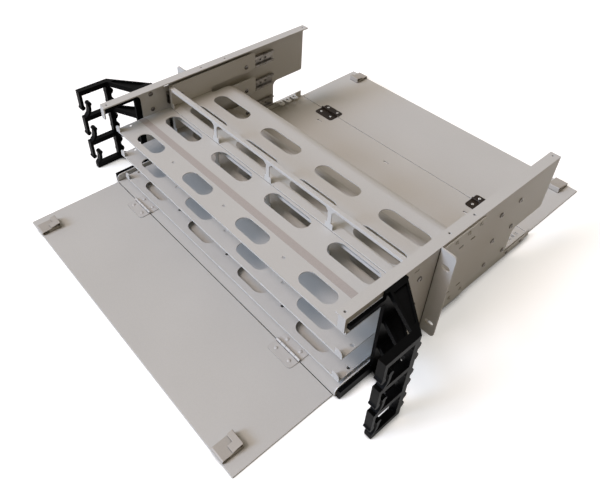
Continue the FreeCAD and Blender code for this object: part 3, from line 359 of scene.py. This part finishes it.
def recess_arm(length, width, floor):
    """One tapered arm of the cross, wider at its mouth above the head than at its floor."""
    arm = bmesh.new()
    low = [arm.verts.new((u * length * RECESS_TAPER, v * width * RECESS_TAPER, floor)) for u, v in SQUARE]
    high = [arm.verts.new((u * length, v * width, RECESS_MOUTH)) for u, v in SQUARE]
    arm.faces.new(reversed(low))
    arm.faces.new(high)
    add_band(arm, low, high)
    return arm


def cross_recess_head():
    """Mesh of a pan head with a cross recess, cut from the turned head by two crossed arms."""
    head = as_object("pan_head", turned_head(PAN_PROFILE))
    floor = 1.0 - RECESS_DEPTH
    tools = [as_object("arm_x", recess_arm(RECESS_ARM, RECESS_WIDTH, floor)),
             as_object("arm_y", recess_arm(RECESS_WIDTH, RECESS_ARM, floor))]
    for tool in tools:
        cut = head.modifiers.new(tool.name, "BOOLEAN")
        cut.operation = "DIFFERENCE"
        cut.solver = "EXACT"
        cut.object = tool
    bpy.context.view_layer.update()
    mesh = bpy.data.meshes.new_from_object(head.evaluated_get(bpy.context.evaluated_depsgraph_get()))
    for spent in (head, *tools):
        bpy.data.objects.remove(spent)
    return mesh


def solids_of(node):
    """Lowest and highest corner of each separate solid in a carried-over node."""
    welded = bmesh.new()
    welded.from_mesh(frame["nodes"][node].data)
    bmesh.ops.remove_doubles(welded, verts=welded.verts, dist=SAME_POINT * MM)
    found = []
    waiting = set(welded.verts)
    while waiting:
        reach = [waiting.pop()]
        members = []
        while reach:
            vert = reach.pop()
            members.append(vert.co.copy())
            for edge in vert.link_edges:
                other = edge.other_vert(vert)
                if other in waiting:
                    waiting.remove(other)
                    reach.append(other)
        found.append((Vector(map(min, *members)), Vector(map(max, *members))))
    welded.free()
    return sorted(found, key=lambda ends: tuple(round(c, 5) for c in ends[0]))


def facing(rule, centre):
    """The way a head faces: up, or away from or towards the middle of the panel."""
    side = math.copysign(1.0, centre.x)
    return {"up": Vector((0, 0, 1)), "out": Vector((side, 0, 0)), "in": Vector((-side, 0, 0))}[rule]


def seat_heads(node, template, rule, finish):
    """Puts a detailed head on each seat of a fastener node, and shows it instead of the plain one. Each is
    turned by a different angle, as screws are when they are driven home."""
    heads = bmesh.new()
    for index, (low, high) in enumerate(solids_of(node)):
        centre = (low + high) / 2
        extent = high - low
        way = facing(rule, centre)
        height = abs(extent.dot(way))
        radius = max(extent) / 2
        seat = centre - way * height / 2
        turn = way.to_track_quat("Z", "Y").to_matrix().to_4x4()
        fit = (Matrix.Translation(seat) @ turn @ Matrix.Rotation(index * GOLDEN_TURN, 4, "Z")
               @ Matrix.Diagonal((radius, radius, height, 1.0)))
        first = len(heads.verts)
        heads.from_mesh(template)
        heads.verts.ensure_lookup_table()
        bmesh.ops.transform(heads, matrix=fit, verts=heads.verts[first:])
    piece = as_object(node + "_heads", heads)
    piece.data.materials.append(finish)
    smooth_rounds(piece)
    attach(piece, BODY_OF[node])
    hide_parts(node)


def make_fasteners():
    """Cross-recess screws everywhere but on the front hinges, which have domed rivets."""
    cross = cross_recess_head()
    dome = as_mesh("domed_head", turned_head(DOME_PROFILE))
    seat_heads("slide_screws", cross, "out", SHADED_SCREW_FINISH)
    seat_heads("guide_screws", cross, "in", SHADED_SCREW_FINISH)
    seat_heads("ear_screws", cross, "out", FINISHES["panel_grey"])
    seat_heads("base_screws", cross, "out", SHADED_SCREW_FINISH)
    for tray in TRAYS:
        seat_heads(tray + "_tray_screws", cross, "in", SHADED_SCREW_FINISH)
    for leaf in ("base", "door"):
        seat_heads(f"front_hinge_{leaf}_rivets", dome, "up", FINISHES["hinge_grey"])
        seat_heads(f"rear_hinge_{leaf}_screws", cross, "up", FINISHES["bright_steel"])


# Collars under the lid's screw holes

WALL_SHEET = 1.5
COLLAR_WALL = 0.6
COLLAR_DEPTH = 3.0
COLLAR_STEPS = 24


def add_collar(collars, seat, bore):
    """One drawn collar: a short tube that hangs from its seat on the underside of the flange."""
    outside = bore + COLLAR_WALL
    rings = []
    for radius, level in ((bore, 0), (bore, -COLLAR_DEPTH), (outside, -COLLAR_DEPTH), (outside, 0)):
        rim = circle(radius, level, COLLAR_STEPS)
        rings.append([collars.verts.new((seat + point) * MM) for point in rim])
    for index, ring in enumerate(rings):
        add_band(collars, rings[index - 1], ring)


def make_lid_hole_collars():
    """The collars drawn down from the top flanges, deep enough for the threads of the lid's screws."""
    collars = bmesh.new()
    for mount in frame["record"]["mounts"]:
        if mount["name"].startswith("lid_holes"):
            holes = mount["dims"]
            middle = Vector(mount["pos_m"]) / MM - Vector((0, 0, WALL_SHEET))
            for side, end in SQUARE:
                offset = Vector((side * holes["spacing_x_mm"], end * holes["spacing_y_mm"], 0)) / 2
                add_collar(collars, middle + offset, holes["hole_r_mm"])
    bmesh.ops.recalc_face_normals(collars, faces=collars.faces)
    piece = as_object("lid_hole_collars", collars)
    piece.data.materials.append(FINISHES["panel_grey"])
    smooth_rounds(piece)
    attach(piece, BODY_OF["base_plate"])


# Darker strip on the upper tray

STRIP_INSET = 1.0
STRIP_SETBACK = 34.5
STRIP_LENGTH = 403.5
STRIP_WIDTH = 10.0
STRIP_THICKNESS = 0.2
STRIP_CORNER = 0.8
CORNER_STEPS = 6


def make_tray_band():
    """A thin darker strip laid across the upper tray between its first two rows of slots."""
    tray_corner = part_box("upper_tray")[0] / MM
    tray_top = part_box("upper_adapter_frame")[0].z / MM
    left = tray_corner.x + STRIP_INSET + STRIP_CORNER
    front = tray_corner.y + STRIP_SETBACK + STRIP_CORNER
    right = left + STRIP_LENGTH - STRIP_CORNER * 2
    rear = front + STRIP_WIDTH - STRIP_CORNER * 2
    rim = []
    for quarter, (x, y) in enumerate(((right, rear), (left, rear), (left, front), (right, front))):
        for step in range(CORNER_STEPS + 1):
            turn = math.radians(90 * (quarter + step / CORNER_STEPS))
            rim.append((x + STRIP_CORNER * math.cos(turn), y + STRIP_CORNER * math.sin(turn)))
    film = bmesh.new()
    low = [film.verts.new(Vector((x, y, tray_top)) * MM) for x, y in rim]
    high = [film.verts.new(Vector((x, y, tray_top + STRIP_THICKNESS)) * MM) for x, y in rim]
    film.faces.new(reversed(low))
    film.faces.new(high)
    add_band(film, low, high)
    strip = as_object("upper_tray_grey_band", film)
    strip.data.materials.append(band_film())
    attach(strip, BODY_OF["upper_tray"])


# Stage: floor and room

FLOOR_HALF = 40.0
FLOOR_DROP = 0.2
FLOOR_GLOW = 0.52
PAPER_OPEN = "#DCDCDC"
PAPER_PAINTED_SHADOW = "#120F0D"
PAPER_BOUNCE = "#8C8277"
# How far off the panel paints a shadow on the paper, and the openness at which the paper is painted dark and
# is left pale.
PAINTED_SHADOW_REACH = 15.0
PAINTED_SHADOW_FULL = 0.3
PAINTED_SHADOW_NONE = 0.75
# The way to the window wall, and each wall's colour: the dim walls first, then the window wall.
WINDOW_SIDE = (-0.6, -0.75, 0.28)
ROOM_LIGHT = ("#87785D", "#BDC0BC")
ROOM_SEEN = ("#D8D4CF", "#F5F9FF")
WALL_DIM = 0.1
WALL_BRIGHT = 0.9


def seen_directly(tree):
    """1 for rays that reach the surface from the camera, a mirror or a clear piece, and 0 for others."""
    path = add_node(tree, "ShaderNodeLightPath").outputs
    glossy = add_node(tree, "ShaderNodeMath", {0: path["Is Camera Ray"], 1: path["Is Glossy Ray"]},
                      operation="MAXIMUM")
    clear = add_node(tree, "ShaderNodeMath", {0: glossy.outputs["Value"], 1: path["Is Transmission Ray"]},
                     operation="MAXIMUM")
    return clear.outputs["Value"]


def white_paper_floor():
    """Seamless white paper: matt and plain, so that the soft shadow of the panel shows on it, with a painted
    shadow, dark and without glow, where the panel closes it in. What it throws back on the panel is the
    warm, duller light of a bench top."""
    material, tree, output = new_finish("white_studio_paper")
    # Painted shadow: the paper's colour and its glow fall to dark where the panel closes it in.
    floor_openness = add_node(tree, "ShaderNodeAmbientOcclusion", values={"Distance": PAINTED_SHADOW_REACH * MM},
                     samples=OPENNESS_SAMPLES)
    painted_shadow = add_node(tree, "ShaderNodeValToRGB", {"Fac": floor_openness.outputs["AO"]},
                     stops=((PAINTED_SHADOW_FULL, PAPER_PAINTED_SHADOW), (PAINTED_SHADOW_NONE, PAPER_OPEN)))
    paper = add_node(tree, "ShaderNodeBsdfDiffuse", {"Color": painted_shadow.outputs["Color"]})
    level = add_node(tree, "ShaderNodeMapRange", {"Value": floor_openness.outputs["AO"]},
                     {"From Min": PAINTED_SHADOW_FULL, "From Max": PAINTED_SHADOW_NONE, "To Max": FLOOR_GLOW})
    glow = add_node(tree, "ShaderNodeEmission", {"Strength": level.outputs["Result"]},
                    {"Color": (1, 1, 1, 1)})
    pale = add_node(tree, "ShaderNodeAddShader", {0: paper.outputs["BSDF"], 1: glow.outputs["Emission"]})
    bounce = add_node(tree, "ShaderNodeBsdfDiffuse", values={"Color": hex_linear(PAPER_BOUNCE)})
    mixed = add_node(tree, "ShaderNodeMixShader",
                     {"Fac": seen_directly(tree), 1: bounce.outputs["BSDF"], 2: pale.outputs["Shader"]})
    tree.links.new(mixed.outputs["Shader"], output.inputs["Surface"])
    return material


def make_floor():
    """A wide sheet of paper just under the panel."""
    paper = bmesh.new()
    level = CAD_BOX[0].z - FLOOR_DROP * MM
    paper.faces.new([paper.verts.new((u * FLOOR_HALF, v * FLOOR_HALF, level)) for u, v in SQUARE])
    floor = as_object("studio_floor", paper)
    floor.data.materials.append(white_paper_floor())


def room_walls(tree, way, colours):
    """Background whose colour turns from the dim walls' to the window wall's, by the way it lies."""
    toward = add_node(tree, "ShaderNodeVectorMath", {0: way}, {1: WINDOW_SIDE}, operation="DOT_PRODUCT")
    walls = add_node(tree, "ShaderNodeValToRGB", {"Fac": toward.outputs["Value"]},
                     stops=((WALL_DIM, colours[0]), (WALL_BRIGHT, colours[1])))
    return add_node(tree, "ShaderNodeBackground", {"Color": walls.outputs["Color"]}).outputs["Background"]


def make_world():
    """A room with a pale cool window wall in front on the left and dim warm walls elsewhere: paler where it
    is seen than in the light that it gives."""
    world = bpy.data.worlds.new("studio_room")
    bpy.context.scene.world = world
    world.use_nodes = True
    tree = world.node_tree
    tree.nodes.clear()
    way = add_node(tree, "ShaderNodeTexCoord").outputs["Generated"]
    mixed = add_node(tree, "ShaderNodeMixShader",
                     {"Fac": seen_directly(tree), 1: room_walls(tree, way, ROOM_LIGHT),
                      2: room_walls(tree, way, ROOM_SEEN)})
    add_node(tree, "ShaderNodeOutputWorld", {"Surface": mixed.outputs["Shader"]})


# Lamps and camera

# Each lamp's name, azimuth, elevation and spread in degrees, colour and strength.
LAMPS = (
    ("window_light", -20, 29, 20, "#C6DDFF", 1.9),
    ("ceiling_light", -25, 55, 30, "#FFF0EA", 1.72),
)
# In metres, degrees, millimetres and shares of the picture's width.
CAMERA_PLACE = (0.415632, -0.434410, 0.554236)
CAMERA_TURN = (48.4592, -0.2208, 49.7186)
CAMERA_LENS = 35.4368
CAMERA_SENSOR = 36.0
CAMERA_SHIFT = (0.05075, -0.09193)


def add_lamp(name, azimuth, elevation, spread, colour, strength):
    """A broad soft lamp far off: azimuth 0 is in front, 90 on the right."""
    light = bpy.data.lights.new(name, "SUN")
    light.angle = math.radians(spread)
    light.color = hex_linear(colour)[:3]
    light.energy = strength
    lamp = bpy.data.objects.new(name, light)
    a = math.radians(azimuth)
    e = math.radians(elevation)
    source = Vector((math.sin(a) * math.cos(e), -math.cos(a) * math.cos(e), math.sin(e)))
    lamp.rotation_mode = "QUATERNION"
    lamp.rotation_quaternion = source.to_track_quat("Z", "Y")
    bpy.context.scene.collection.objects.link(lamp)


def make_camera():
    """The camera of the photograph: its place, turn, lens and framing."""
    data = bpy.data.cameras.new("photo_camera")
    data.lens = CAMERA_LENS
    data.sensor_width = CAMERA_SENSOR
    data.shift_x, data.shift_y = CAMERA_SHIFT
    camera = bpy.data.objects.new("photo_camera", data)
    camera.location = CAMERA_PLACE
    camera.rotation_euler = [math.radians(turn) for turn in CAMERA_TURN]
    bpy.context.scene.collection.objects.link(camera)
    bpy.context.scene.camera = camera


dress_carried_pieces()
make_fasteners()
make_lid_hole_collars()
make_tray_band()
make_floor()
make_world()
for lamp_values in LAMPS:
    add_lamp(*lamp_values)
make_camera()
bpy.context.scene.view_settings.view_transform = "Standard"
